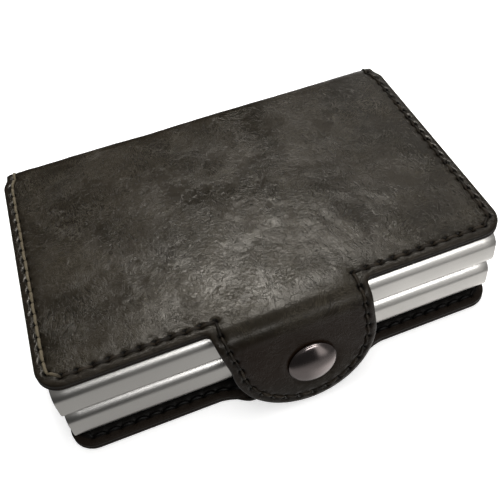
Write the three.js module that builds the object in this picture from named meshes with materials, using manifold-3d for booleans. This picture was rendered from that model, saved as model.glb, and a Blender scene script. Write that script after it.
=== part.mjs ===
// A card wallet: two aluminium pop-up card cases stacked in a folding leather cover.
// Millimetres. +X runs along the long side, -Y faces the edge with the closing tab,
// +Y faces the spine and +Z is up. The origin is the middle of the underside.

import * as THREE from 'three';
import { mergeVertices } from 'three/addons/utils/BufferGeometryUtils.js';
import Module from 'manifold-3d';

const wasm = await Module();
wasm.setup();

// ---- Driving dimensions ----

const WALLET_HEIGHT = 27.8;

const COVER = {
  halfLength: 52,
  frontY: -34.6,
  rearY: 31.3,
  frontRadius: 5.5,
  rearRadius: 2,
  thickness: 2.6,
  leather: 1.2,
  layerGap: 0.05,
};

const BOARD = { thickness: 0.75, inset: 4, radius: 3, clearance: 0.3 };

const SPINE = { halfLength: 50.6, middleY: 32.6, halfThickness: 1.0, layerGap: 0.05 };

const CASE = {
  halfLength: 50.6,
  width: 62.8,
  height: 9.9,
  lowerMiddleY: -1.7,
  upperMiddleY: -2.5,
  cornerRadius: 3.2,
  wall: 0.9,
};

const PAD = { thickness: 1.3, endInset: 3, sideInset: 4, radius: 2 };

const INNER_FRAME = {
  clearance: 0.1,
  endX: 50.3,
  railThickness: 3,
  floorThickness: 0.8,
  endWall: 1.5,
  leverBayEndX: -37,
  railEndX: 44.9,
  slotSidePlay: 0.8,
  slotHeightPlay: 0.4,
};

const MOUTH = { startX: 45.2, halfWidth: 27.8, halfHeight: 3.0 };

const FELT = { thickness: 0.6, endInset: 0.8, sideInset: 4 };

const LEVER = {
  pivotX: -41.2,
  pivotY: -18,
  hubRadius: 3.5,
  boreRadius: 1.6,
  armEndY: 25,
  steps: 5,
  backX: -48.3,
  frontX: -37.4,
  stepWidth: 1.6,
  endTaper: 1,
  floorGap: 0.2,
  topGap: 0.5,
  triggerReach: 10.6,
  triggerHalfWidth: 2,
  triggerHalfHeight: 1.3,
  triggerAngle: THREE.MathUtils.degToRad(16),
};

const PIN = { radius: 1.5, floorGap: 0.05, topGap: 0.2 };

const TAB_LEAN = THREE.MathUtils.degToRad(9);

const CLOSING_TAB = {
  hingeY: -37.25,
  rootHalfWidth: 17.4,
  rootMiddleX: 0.15,
  rootFlare: 1.3,
  tipRadius: 16.6,
  tipMiddleX: 1.4,
  length: 26.1,
  halfThickness: 1.0,
  snapDrop: 14.4,
};

const STUD_TAB = {
  middleX: 1.8,
  rootHalfWidth: 11.5,
  rootFlare: 8,
  topRadius: 6,
  length: 16.2,
  halfThickness: 0.8,
  airGap: 1.7,
};

const SNAP = {
  middleX: 2.3,
  holeRadius: 1.9,
  flangeRadius: 4.4,
  cap: { radius: 5.6, rise: 1.5, edge: 0.5, steps: 8, stemRadius: 1.3, stemReach: 0.35 },
  socket: {
    radius: 5,
    rim: 0.4,
    shoulderRadius: 4.2,
    thickness: 1.2,
    cupRadius: 2.6,
    web: 0.3,
    boreRadius: 1.6,
  },
  stud: { flange: 0.25, height: 1.1, tipRadius: 1.2, headRadius: 1.7, headDrop: 0.3, neckRadius: 1.4 },
  post: { stemRadius: 1.2, stemStop: 0.1, rim: 0.35, crownRadius: 4, thickness: 0.6 },
};

const TAB_GAP = 0.3;
const OVERSHOOT = 1;
const CURVE_STEPS = 4;
const ROUND_STEPS = 24;

// ---- Where things sit, worked out from the dimensions ----

const coverHingeZ = SPINE.halfThickness;
const tabHingeZ = WALLET_HEIGHT - CLOSING_TAB.halfThickness;
const studHingeZ = 1.0;
const tabSpacing = CLOSING_TAB.halfThickness + STUD_TAB.airGap + STUD_TAB.halfThickness;
const studHingeY =
  CLOSING_TAB.hingeY - (tabHingeZ - studHingeZ) * Math.tan(TAB_LEAN) + tabSpacing / Math.cos(TAB_LEAN);
const snapHeightOnStudTab = (tabHingeZ - studHingeZ) / Math.cos(TAB_LEAN)
  - CLOSING_TAB.snapDrop - tabSpacing * Math.tan(TAB_LEAN);
const caseMiddleZ = COVER.thickness + PAD.thickness + CASE.height / 2;

// ---- Materials ----

const MATERIALS = {
  outerLeather: { color: 0x3c362f, roughness: 0.5, metalness: 0 },
  lining: { color: 0x17140f, roughness: 0.8, metalness: 0 },
  board: { color: 0x8a7b66, roughness: 0.9, metalness: 0 },
  pad: { color: 0x1c1c1c, roughness: 0.9, metalness: 0 },
  aluminium: { color: 0xc4c4c2, roughness: 0.35, metalness: 1 },
  plastic: { color: 0x151515, roughness: 0.5, metalness: 0 },
  felt: { color: 0x26262a, roughness: 1, metalness: 0 },
  steel: { color: 0x9a9a98, roughness: 0.3, metalness: 1 },
  gunmetal: { color: 0x5a5754, roughness: 0.25, metalness: 1 },
};

const wallet = new THREE.Group();

function addPiece(parent, name, geometry, materialName) {
  const mesh = new THREE.Mesh(geometry, new THREE.MeshStandardMaterial(MATERIALS[materialName]));
  mesh.name = name;
  parent.add(mesh);
  return mesh;
}

// ---- Solids ----

function toSolid(geometry) {
  const bare = geometry.clone();
  bare.deleteAttribute('normal');
  bare.deleteAttribute('uv');
  const merged = mergeVertices(bare, 1e-4);
  return new wasm.Manifold(new wasm.Mesh({
    numProp: 3,
    vertProperties: new Float32Array(merged.attributes.position.array),
    triVerts: new Uint32Array(merged.index.array),
  }));
}

function toGeometry(solid) {
  const mesh = solid.getMesh();
  const geometry = new THREE.BufferGeometry();
  geometry.setAttribute('position', new THREE.BufferAttribute(new Float32Array(mesh.vertProperties), 3));
  geometry.setIndex(new THREE.BufferAttribute(new Uint32Array(mesh.triVerts), 1));
  return geometry;
}

function cut(base, ...tools) {
  return toGeometry(tools.reduce((solid, tool) => solid.subtract(toSolid(tool)), toSolid(base)));
}

function join(base, ...others) {
  return toGeometry(others.reduce((solid, other) => solid.add(toSolid(other)), toSolid(base)));
}

function common(first, second) {
  return toGeometry(toSolid(first).intersect(toSolid(second)));
}

function box(x0, x1, y0, y1, z0, z1) {
  const geometry = new THREE.BoxGeometry(x1 - x0, y1 - y0, z1 - z0);
  return geometry.translate((x0 + x1) / 2, (y0 + y1) / 2, (z0 + z1) / 2);
}

function extrude(shape, depth) {
  return new THREE.ExtrudeGeometry(shape, { depth, bevelEnabled: false, curveSegments: CURVE_STEPS });
}

// A shape drawn in X and Y, given a thickness from z0 to z1.
function plate(shape, z0, z1) {
  return extrude(shape, z1 - z0).translate(0, 0, z0);
}

// A shape drawn in Y and Z, running from x0 to x1.
function alongX(shape, x0, x1) {
  const turn = new THREE.Matrix4().makeBasis(
    new THREE.Vector3(0, 1, 0),
    new THREE.Vector3(0, 0, 1),
    new THREE.Vector3(1, 0, 0),
  );
  return extrude(shape, x1 - x0).applyMatrix4(turn).translate(x0, 0, 0);
}

// A shape drawn in X and Z, running from y0 to y1.
function alongY(shape, y0, y1) {
  const turn = new THREE.Matrix4().makeBasis(
    new THREE.Vector3(1, 0, 0),
    new THREE.Vector3(0, 0, 1),
    new THREE.Vector3(0, -1, 0),
  );
  return extrude(shape, y1 - y0).applyMatrix4(turn).translate(0, y1, 0);
}

function roundedRectangle(width, height, radius, ShapeClass = THREE.Shape) {
  const x = width / 2 - radius;
  const y = height / 2 - radius;
  const shape = new ShapeClass();
  shape.moveTo(width / 2, -y);
  shape.absarc(x, y, radius, 0, Math.PI / 2);
  shape.absarc(-x, y, radius, Math.PI / 2, Math.PI);
  shape.absarc(-x, -y, radius, Math.PI, 1.5 * Math.PI);
  shape.absarc(x, -y, radius, 1.5 * Math.PI, 2 * Math.PI);
  return shape;
}

// A turned piece about the Y axis from [radius, y] points.
function turned(points) {
  return new THREE.LatheGeometry(points.map(([r, y]) => new THREE.Vector2(r, y)), ROUND_STEPS);
}

// A round bar along the Z axis, from z0 to z1.
function upright(radius, x, y, z0, z1) {
  return new THREE.CylinderGeometry(radius, radius, z1 - z0, ROUND_STEPS)
    .rotateX(Math.PI / 2).translate(x, y, (z0 + z1) / 2);
}

// ---- Covers: outer leather, stiffening board and lining ----

// The outline of a cover, with the short flared tongue that leads to its tab.
function coverOutline(tongueMiddleX, tongueHalfWidth, flare, tongueEndY) {
  const { halfLength, frontY, rearY, frontRadius, rearRadius } = COVER;
  const left = tongueMiddleX - tongueHalfWidth;
  const right = tongueMiddleX + tongueHalfWidth;
  const pull = 0.3 * flare;
  const shape = new THREE.Shape();
  shape.absarc(-halfLength + frontRadius, frontY + frontRadius, frontRadius, Math.PI, 1.5 * Math.PI);
  shape.lineTo(left - flare, frontY);
  shape.quadraticCurveTo(left - pull, frontY, left, tongueEndY);
  shape.lineTo(right, tongueEndY);
  shape.quadraticCurveTo(right + pull, frontY, right + flare, frontY);
  shape.absarc(halfLength - frontRadius, frontY + frontRadius, frontRadius, -Math.PI / 2, 0);
  shape.absarc(halfLength - rearRadius, rearY - rearRadius, rearRadius, 0, Math.PI / 2);
  shape.absarc(-halfLength + rearRadius, rearY - rearRadius, rearRadius, Math.PI / 2, Math.PI);
  return shape;
}

// A rounded plate inside the cover's edge, from z0 to z1.
function boardPlate(z0, z1, growth) {
  const width = 2 * (COVER.halfLength - BOARD.inset + growth);
  const depth = COVER.rearY - COVER.frontY - 2 * (BOARD.inset - growth);
  const middleY = (COVER.rearY + COVER.frontY) / 2;
  return plate(roundedRectangle(width, depth, BOARD.radius), z0, z1).translate(0, middleY, 0);
}

// A layer given by heights above the cover's outer face, on the lower or the upper cover.
function layer(isUpper, from, to) {
  return isUpper ? [WALLET_HEIGHT - to, WALLET_HEIGHT - from] : [from, to];
}

function addCover(side, isUpper, outline) {
  const liningStart = COVER.leather + COVER.layerGap;
  const boardEnd = liningStart + BOARD.thickness;
  const pocketLayer = layer(isUpper, liningStart - OVERSHOOT, boardEnd + COVER.layerGap);
  const pocket = boardPlate(...pocketLayer, BOARD.clearance);
  const lining = plate(outline, ...layer(isUpper, liningStart, COVER.thickness));
  const leather = plate(outline, ...layer(isUpper, 0, COVER.leather));
  addPiece(wallet, `${side}_cover_leather`, leather, 'outerLeather');
  addPiece(wallet, `${side}_cover_board`, boardPlate(...layer(isUpper, liningStart, boardEnd), 0), 'board');
  addPiece(wallet, `${side}_cover_lining`, cut(lining, pocket), 'lining');
}

function addCovers() {
  const closingTongueY = CLOSING_TAB.hingeY + CLOSING_TAB.halfThickness + TAB_GAP;
  const studTongueY = studHingeY + STUD_TAB.halfThickness + TAB_GAP;
  const closingRoot = [CLOSING_TAB.rootMiddleX, CLOSING_TAB.rootHalfWidth, CLOSING_TAB.rootFlare];
  const studRoot = [STUD_TAB.middleX, STUD_TAB.rootHalfWidth, STUD_TAB.rootFlare];
  addCover('top', true, coverOutline(...closingRoot, closingTongueY));
  addCover('bottom', false, coverOutline(...studRoot, studTongueY));
}

// ---- Spine: a strip whose long edges are round about the two fold lines ----

function spineLayer(isOuter) {
  const { middleY, halfThickness, layerGap } = SPINE;
  const reach = Math.sqrt(halfThickness ** 2 - layerGap ** 2);
  const tilt = Math.asin(layerGap / halfThickness);
  const sign = isOuter ? 1 : -1;
  const shape = new THREE.Shape();
  shape.moveTo(sign * layerGap, coverHingeZ - reach);
  shape.absarc(0, coverHingeZ, halfThickness, isOuter ? -Math.PI / 2 + tilt : -Math.PI / 2 - tilt,
    isOuter ? 0 : -Math.PI, !isOuter);
  shape.absarc(0, WALLET_HEIGHT - coverHingeZ, halfThickness, isOuter ? 0 : Math.PI,
    isOuter ? Math.PI / 2 - tilt : Math.PI / 2 + tilt, !isOuter);
  return alongX(shape, -SPINE.halfLength, SPINE.halfLength).translate(0, middleY, 0);
}

function addSpine() {
  addPiece(wallet, 'spine_leather', spineLayer(true), 'outerLeather');
  addPiece(wallet, 'spine_lining', spineLayer(false), 'lining');
}

// ---- Card cases ----
// Each case is made about its own middle, with its card mouth at +X and its lever at -X.

function caseShell() {
  const { width, height, cornerRadius, wall, halfLength } = CASE;
  const section = roundedRectangle(width, height, cornerRadius);
  const hollow = roundedRectangle(width - 2 * wall, height - 2 * wall, cornerRadius - wall, THREE.Path);
  section.holes.push(hollow);
  return alongX(section, -halfLength, halfLength);
}

function innerSection() {
  const play = 2 * (CASE.wall + INNER_FRAME.clearance);
  const radius = CASE.cornerRadius - CASE.wall - INNER_FRAME.clearance;
  return roundedRectangle(CASE.width - play, CASE.height - play, radius);
}

const innerHalfWidth = CASE.width / 2 - CASE.wall - INNER_FRAME.clearance;
const innerHalfHeight = CASE.height / 2 - CASE.wall - INNER_FRAME.clearance;
const railInnerY = innerHalfWidth - INNER_FRAME.railThickness;
const floorZ = -innerHalfHeight + INNER_FRAME.floorThickness;

// Two side rails joined at the lever end by a floor and an end wall with the trigger's slot.
function innerFrame() {
  const { endX, railEndX, leverBayEndX, endWall, slotSidePlay, slotHeightPlay } = INNER_FRAME;
  const { pivotX, pivotY, boreRadius } = LEVER;
  const { triggerReach, triggerAngle, triggerHalfWidth, triggerHalfHeight } = LEVER;
  const blank = alongX(innerSection(), -endX, railEndX);
  const above = innerHalfHeight + OVERSHOOT;
  const cardChannel = box(leverBayEndX, railEndX + OVERSHOOT, -railInnerY, railInnerY, -above, above);
  const leverBay = box(-endX + endWall, leverBayEndX + OVERSHOOT, -railInnerY, railInnerY, floorZ, above);
  const slotReach = triggerReach * Math.sin(triggerAngle) + triggerHalfWidth + slotSidePlay;
  const slotHalfHeight = triggerHalfHeight + slotHeightPlay;
  const slot = box(-endX - OVERSHOOT, -endX + endWall + OVERSHOOT, pivotY - slotReach, pivotY + slotReach,
    -slotHalfHeight, slotHalfHeight);
  const pinHole = upright(boreRadius, pivotX, pivotY, -above, floorZ + OVERSHOOT);
  return cut(blank, cardChannel, leverBay, slot, pinHole);
}

function mouthFrame() {
  const { startX, halfWidth, halfHeight } = MOUTH;
  const { endX } = INNER_FRAME;
  const mouth = box(startX - OVERSHOOT, endX + OVERSHOOT, -halfWidth, halfWidth, -halfHeight, halfHeight);
  return cut(alongX(innerSection(), startX, endX), mouth);
}

function frictionFelt() {
  const { startX, halfWidth, halfHeight } = MOUTH;
  const { thickness, endInset, sideInset } = FELT;
  const top = halfHeight - COVER.layerGap;
  return box(startX + endInset, INNER_FRAME.endX - endInset, -halfWidth + sideInset, halfWidth - sideInset,
    top - thickness, top);
}

// One level of the stepped arm, from the hub to the far end of the lever.
function leverArm(frontX) {
  const { pivotX, pivotY, hubRadius, armEndY, backX, endTaper } = LEVER;
  const shape = new THREE.Shape();
  shape.moveTo(pivotX - hubRadius, pivotY);
  shape.lineTo(pivotX + hubRadius, pivotY);
  shape.lineTo(frontX, pivotY + 2 * hubRadius);
  shape.lineTo(frontX - endTaper, armEndY);
  shape.lineTo(backX + endTaper, armEndY);
  shape.lineTo(backX, pivotY + 2 * hubRadius);
  return shape;
}

// A bell crank: a stepped arm that pushes the cards, and a short trigger out of the end wall.
function lever() {
  const { pivotX, pivotY, hubRadius, boreRadius, steps, frontX, stepWidth, floorGap, topGap } = LEVER;
  const { triggerReach, triggerHalfWidth, triggerHalfHeight, triggerAngle } = LEVER;
  const bottom = floorZ + floorGap;
  const top = innerHalfHeight - topGap;
  const stepHeight = (top - bottom) / steps;
  const levels = [];
  for (let i = 0; i < steps; i += 1) {
    levels.push(plate(leverArm(frontX - i * stepWidth), bottom, bottom + (i + 1) * stepHeight));
  }
  const hub = upright(hubRadius, pivotX, pivotY, bottom, top);
  const bore = upright(boreRadius, pivotX, pivotY, bottom - OVERSHOOT, top + OVERSHOOT);
  const trigger = box(-triggerReach, 0, -triggerHalfWidth, triggerHalfWidth, -triggerHalfHeight,
    triggerHalfHeight).rotateZ(triggerAngle).translate(pivotX, pivotY, 0);
  return cut(join(hub, trigger, ...levels), bore);
}

function leverPin() {
  const { pivotX, pivotY } = LEVER;
  return upright(PIN.radius, pivotX, pivotY, -innerHalfHeight + PIN.floorGap, innerHalfHeight - PIN.topGap);
}

function casePad() {
  const { thickness, endInset, sideInset, radius } = PAD;
  const shape = roundedRectangle(2 * (CASE.halfLength - endInset), CASE.width - 2 * sideInset, radius);
  return plate(shape, -CASE.height / 2 - thickness, -CASE.height / 2);
}

// The upper case is the same case turned over, so its lever's trigger is at the other corner.
function addCase(side, isUpper) {
  const group = new THREE.Group();
  if (isUpper) {
    group.position.set(0, CASE.upperMiddleY, WALLET_HEIGHT - caseMiddleZ);
  } else {
    group.position.set(0, CASE.lowerMiddleY, caseMiddleZ);
  }
  group.rotation.x = isUpper ? Math.PI : 0;
  wallet.add(group);
  addPiece(group, `${side}_case_pad`, casePad(), 'pad');
  addPiece(group, `${side}_case_shell`, caseShell(), 'aluminium');
  addPiece(group, `${side}_inner_frame`, innerFrame(), 'plastic');
  addPiece(group, `${side}_mouth_frame`, mouthFrame(), 'plastic');
  addPiece(group, `${side}_friction_felt`, frictionFelt(), 'felt');
  addPiece(group, `${side}_eject_lever`, lever(), 'plastic');
  addPiece(group, `${side}_lever_pin`, leverPin(), 'steel');
}

// ---- Tabs ----
// Each tab is made in a group with its origin on its fold line: X across, Z along the tab
// and -Y outward. The group leans so that the tab's lower end stands further out.

// Half of a tab's thickness, seen from its side, round about the fold line.
function tabLayer(halfThickness, length, isOuter, hangsDown) {
  const { layerGap } = COVER;
  const along = hangsDown ? -1 : 1;
  const out = isOuter ? -1 : 1;
  const shape = new THREE.Shape();
  shape.moveTo(out * layerGap, along * length);
  shape.lineTo(out * halfThickness, along * length);
  const steps = 2 * CURVE_STEPS;
  for (let i = 0; i <= steps; i += 1) {
    const angle = (i / steps) * Math.acos(layerGap / halfThickness);
    shape.lineTo(out * halfThickness * Math.cos(angle), -along * halfThickness * Math.sin(angle));
  }
  return shape;
}

function closingTabOutline() {
  const { rootMiddleX, rootHalfWidth, tipMiddleX, tipRadius, length, halfThickness } = CLOSING_TAB;
  const middleZ = tipRadius - length;
  const past = halfThickness + OVERSHOOT;
  const shape = new THREE.Shape();
  shape.moveTo(rootMiddleX - rootHalfWidth, past);
  shape.lineTo(rootMiddleX - rootHalfWidth, 0);
  shape.absarc(tipMiddleX, middleZ, tipRadius, Math.PI, 2 * Math.PI);
  shape.lineTo(rootMiddleX + rootHalfWidth, 0);
  shape.lineTo(rootMiddleX + rootHalfWidth, past);
  return shape;
}

function studTabOutline() {
  const { rootHalfWidth, topRadius, length, halfThickness } = STUD_TAB;
  const left = STUD_TAB.middleX - rootHalfWidth;
  const right = STUD_TAB.middleX + rootHalfWidth;
  const past = halfThickness + OVERSHOOT;
  const shape = new THREE.Shape();
  shape.moveTo(left, -past);
  shape.lineTo(right, -past);
  shape.absarc(right - topRadius, length - topRadius, topRadius, 0, Math.PI / 2);
  shape.absarc(left + topRadius, length - topRadius, topRadius, Math.PI / 2, Math.PI);
  return shape;
}

function snapCap() {
  const { radius, rise, edge, steps, stemRadius, stemReach } = SNAP.cap;
  const seat = -CLOSING_TAB.halfThickness - COVER.layerGap;
  const stemEnd = CLOSING_TAB.halfThickness + stemReach;
  const dome = [];
  for (let i = 0; i <= steps; i += 1) {
    const angle = (i / steps) * (Math.PI / 2);
    dome.push([radius * Math.sin(angle), seat - edge - rise * Math.cos(angle)]);
  }
  return turned([...dome, [radius, seat], [stemRadius, seat], [stemRadius, stemEnd], [0, stemEnd]]);
}

function snapSocket() {
  const { radius, rim, shoulderRadius, thickness, cupRadius, web, boreRadius } = SNAP.socket;
  const back = CLOSING_TAB.halfThickness + COVER.layerGap;
  return turned([
    [boreRadius, back],
    [radius, back],
    [radius, back + rim],
    [shoulderRadius, back + thickness],
    [cupRadius, back + thickness],
    [cupRadius, back + web],
    [boreRadius, back + web],
    [boreRadius, back],
  ]);
}

function snapStud() {
  const { flange, height, tipRadius, headRadius, headDrop, neckRadius } = SNAP.stud;
  const seat = -STUD_TAB.halfThickness - COVER.layerGap;
  return turned([
    [0, seat - height],
    [tipRadius, seat - height],
    [headRadius, seat - height + headDrop],
    [neckRadius, seat - flange],
    [SNAP.flangeRadius, seat - flange],
    [SNAP.flangeRadius, seat],
    [0, seat],
  ]);
}

function snapPost() {
  const { stemRadius, stemStop, rim, crownRadius, thickness } = SNAP.post;
  const seat = STUD_TAB.halfThickness + COVER.layerGap;
  const stemEnd = -STUD_TAB.halfThickness + stemStop;
  return turned([
    [0, stemEnd],
    [stemRadius, stemEnd],
    [stemRadius, seat],
    [SNAP.flangeRadius, seat],
    [SNAP.flangeRadius, seat + rim],
    [crownRadius, seat + thickness],
    [0, seat + thickness],
  ]);
}

function tabGroup(hingeY, hingeZ) {
  const group = new THREE.Group();
  group.position.set(0, hingeY, hingeZ);
  group.rotation.x = -TAB_LEAN;
  wallet.add(group);
  return group;
}

// A tab's layer: its section run across the tab, trimmed to the outline, with the rivet's hole.
function tabPiece(outline, section, halfThickness, holeZ) {
  const reach = 2 * CLOSING_TAB.rootHalfWidth;
  const past = halfThickness + OVERSHOOT;
  const hole = new THREE.CylinderGeometry(SNAP.holeRadius, SNAP.holeRadius, 2 * past, ROUND_STEPS)
    .translate(SNAP.middleX, 0, holeZ);
  return cut(common(alongX(section, -reach, reach), alongY(outline, -past, past)), hole);
}

function addClosingTab() {
  const { halfThickness, length, snapDrop, hingeY } = CLOSING_TAB;
  const group = tabGroup(hingeY, tabHingeZ);
  const outline = closingTabOutline();
  const outer = tabLayer(halfThickness, length, true, true);
  const inner = tabLayer(halfThickness, length, false, true);
  const leather = tabPiece(outline, outer, halfThickness, -snapDrop);
  const lining = tabPiece(outline, inner, halfThickness, -snapDrop);
  addPiece(group, 'closing_tab_leather', leather, 'outerLeather');
  addPiece(group, 'closing_tab_lining', lining, 'lining');
  addPiece(group, 'snap_cap', snapCap().translate(SNAP.middleX, 0, -snapDrop), 'gunmetal');
  addPiece(group, 'snap_socket', snapSocket().translate(SNAP.middleX, 0, -snapDrop), 'gunmetal');
}

function addStudTab() {
  const { halfThickness, length } = STUD_TAB;
  const group = tabGroup(studHingeY, studHingeZ);
  const outline = studTabOutline();
  const outer = tabLayer(halfThickness, length, true, false);
  const inner = tabLayer(halfThickness, length, false, false);
  const leather = tabPiece(outline, outer, halfThickness, snapHeightOnStudTab);
  const lining = tabPiece(outline, inner, halfThickness, snapHeightOnStudTab);
  addPiece(group, 'stud_tab_leather', leather, 'outerLeather');
  addPiece(group, 'stud_tab_lining', lining, 'lining');
  addPiece(group, 'snap_stud', snapStud().translate(SNAP.middleX, 0, snapHeightOnStudTab), 'gunmetal');
  addPiece(group, 'snap_post', snapPost().translate(SNAP.middleX, 0, snapHeightOnStudTab), 'gunmetal');
}

addCovers();
addSpine();
addCase('lower', false);
addCase('upper', true);
addClosingTab();
addStudTab();

export default wallet;
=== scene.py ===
import math

import bmesh
import bpy
import numpy as np
from mathutils import Matrix, Vector
from mathutils.geometry import delaunay_2d_cdt
from mathutils.kdtree import KDTree


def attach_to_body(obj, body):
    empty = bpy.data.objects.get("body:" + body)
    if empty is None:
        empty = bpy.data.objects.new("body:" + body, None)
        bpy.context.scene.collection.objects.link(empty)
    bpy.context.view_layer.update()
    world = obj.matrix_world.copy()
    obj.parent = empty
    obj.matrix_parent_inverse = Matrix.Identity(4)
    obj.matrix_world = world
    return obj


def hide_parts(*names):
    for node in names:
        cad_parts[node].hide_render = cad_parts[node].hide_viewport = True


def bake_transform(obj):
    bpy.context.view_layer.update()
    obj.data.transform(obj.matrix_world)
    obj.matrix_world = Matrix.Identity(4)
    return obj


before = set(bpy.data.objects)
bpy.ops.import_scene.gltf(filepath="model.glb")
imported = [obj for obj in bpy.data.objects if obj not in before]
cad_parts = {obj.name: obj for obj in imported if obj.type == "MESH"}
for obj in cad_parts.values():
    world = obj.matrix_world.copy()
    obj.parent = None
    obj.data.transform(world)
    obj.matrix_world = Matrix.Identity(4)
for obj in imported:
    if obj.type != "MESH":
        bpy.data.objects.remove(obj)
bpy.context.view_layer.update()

# A card wallet. Lengths in this script are in millimetres until a mesh is made; +X runs along
# the long side, -Y faces the closing tab, +Y the spine and +Z is up, as in the CAD model.

MM = 0.001
QUARTER = math.pi / 2
LEAN = math.radians(9)

# ---- The strip: leather and lining wrap the wallet as one flat-cut strip ----
# u is across it (along X) and v along it, from the closing tab's tip over the top cover, the
# spine and the bottom cover to the stud tab's end. v is 0 at the top cover's near edge.
# n is the height above the plane where leather and lining meet, outward positive.

TAB_STRAIGHT = 23.025
TAB_BEND = 3.4  # radius, as are the other bends
TAB_ROOT = -0.425
COVER_FLAT = 65.2
SPINE_BEND = 1.8
SPINE_FLAT = 21.8
STUD_ROOT = 0.97
STUD_BEND = 1.7
STUD_STRAIGHT = 13.975
STUD_SPARE = 3  # the last stretch runs a little past the stud tab's end

# Length and turn of each stretch, from the closing tab's tip on.
STRETCHES = (
    (TAB_STRAIGHT, 0.0),
    (TAB_BEND * (QUARTER - LEAN), LEAN - QUARTER),
    (TAB_ROOT + COVER_FLAT, 0.0),
    (SPINE_BEND * QUARTER, -QUARTER),
    (SPINE_FLAT, 0.0),
    (SPINE_BEND * QUARTER, -QUARTER),
    (COVER_FLAT + STUD_ROOT, 0.0),
    (STUD_BEND * (QUARTER + LEAN), -QUARTER - LEAN),
    (STUD_STRAIGHT + STUD_SPARE, 0.0),
)
TIP_POINT = (-41.135, 0.99)  # y and z of the closing tab's tip
V_TIP = -(STRETCHES[0][0] + STRETCHES[1][0] + TAB_ROOT)
V_BOTTOM_EDGE = 2 * COVER_FLAT + 2 * SPINE_BEND * QUARTER + SPINE_FLAT
V_STUD_END = V_BOTTOM_EDGE + STUD_ROOT + STRETCHES[7][0] + STUD_STRAIGHT
V_MIDDLE = V_BOTTOM_EDGE / 2
SPINE_CUT = COVER_FLAT - 0.7

# Where the strip is parted between the bodies it rides on.
CUTS = (-0.6, SPINE_CUT, V_MIDDLE, V_BOTTOM_EDGE - SPINE_CUT, V_BOTTOM_EDGE + 0.64)

HALF_LENGTH = 52.0
FRONT_RADIUS = 5.5
SPINE_HALF_LENGTH = 50.9
SPINE_EASE = 3.6  # the covers narrow to the spine over this length
TAB_TIP_RADIUS = 16.6
TAB_TIP_X = 1.4
TAB_ROOT_X = (-17.25, 17.55)
STUD_HALF_WIDTH = 11.5
STUD_CORNER = 6.0
SNAP_X = 2.3
STUD_X = 1.8
SNAP_DROP = 14.4  # from the closing tab's fold line to the snap
STUD_DROP = 11.17  # from the stud tab's fold line to the stud
STUD_TAB_LENGTH = 16.2
CLOSING_FOLD_V = -1.307
SNAP_V = CLOSING_FOLD_V - SNAP_DROP
STUD_SNAP_V = V_STUD_END - STUD_TAB_LENGTH + STUD_DROP
RIVET_RADIUS = 1.9
RIVET_SIDES = 24

LEATHER = 1.2
LINING = 1.4
THIN_LINING = 0.8
STITCH_INSET = 2.05
STITCH_PITCH = 3.2
EDGE_REACH = 6.0  # distances from the outline are kept up to this


def smooth(x, start, end):
    """0 before start, 1 after end and an S curve between them."""
    t = np.clip((x - start) / (end - start), 0, 1)
    return t * t * (3 - 2 * t)


def wave_noise(x, y, seed):
    """Smooth noise on a unit grid, about -1 to 1."""
    angles = np.random.default_rng(seed).uniform(0, 2 * math.pi, 4096)
    ix, iy = np.floor(x).astype(int), np.floor(y).astype(int)
    fx, fy = x - ix, y - iy
    sx, sy = fx * fx * (3 - 2 * fx), fy * fy * (3 - 2 * fy)

    def corner(dx, dy):
        angle = angles[((ix + dx) * 1619 + (iy + dy) * 3137) % 4096]
        return np.cos(angle) * (fx - dx) + np.sin(angle) * (fy - dy)

    low = corner(0, 0) * (1 - sx) + corner(1, 0) * sx
    high = corner(0, 1) * (1 - sx) + corner(1, 1) * sx
    return 1.6 * (low * (1 - sy) + high * sy)


def fold(v):
    """The fold line's points (y, z) at v and its outward directions."""
    v = np.asarray(v, float)
    points = np.zeros(v.shape + (2,))
    outward = np.zeros(v.shape + (2,))
    start, heading, position = V_TIP, QUARTER - LEAN, np.array(TIP_POINT)
    for i, (length, turn) in enumerate(STRETCHES):
        last = i == len(STRETCHES) - 1
        inside = (v >= start if i else v > -1e9) & ((v < start + length) | last)
        step = v[inside] - start
        if turn:
            radius = length / abs(turn)
            angle = heading - step / radius
            centre = position + radius * np.array([math.sin(heading), -math.cos(heading)])
            direction = np.stack([-np.sin(angle), np.cos(angle)], -1)
            points[inside] = centre + radius * direction
            end = heading + turn
            position = centre + radius * np.array([-math.sin(end), math.cos(end)])
        else:
            along = np.array([math.cos(heading), math.sin(heading)])
            direction = np.broadcast_to([-math.sin(heading), math.cos(heading)], (step.size, 2))
            points[inside] = position + step[:, None] * along
            position = position + length * along
        outward[inside] = direction
        start, heading = start + length, heading + turn
    return points, outward


def place(u, v, n):
    """Points of the strip in the wallet, in millimetres."""
    points, outward = fold(v)
    yz = points + np.asarray(n)[..., None] * outward
    return np.concatenate([np.asarray(u, float)[..., None], yz], -1)


# ---- Outline of the strip ----

def arc(x, y, radius, start, end, steps=28):
    a = np.radians(np.linspace(start, end, steps))
    return np.stack([x + radius * np.cos(a), y + radius * np.sin(a)], 1)


def curve(a, b, c, steps=20):
    t = np.linspace(0, 1, steps)[:, None]
    return (1 - t) ** 2 * np.array(a) + 2 * t * (1 - t) * np.array(b) + t**2 * np.array(c)


def s_curve(u0, v0, u1, v1, steps=14):
    t = np.linspace(0, 1, steps)
    return np.stack([u0 + (u1 - u0) * t * t * (3 - 2 * t), v0 + (v1 - v0) * t], 1)


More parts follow.
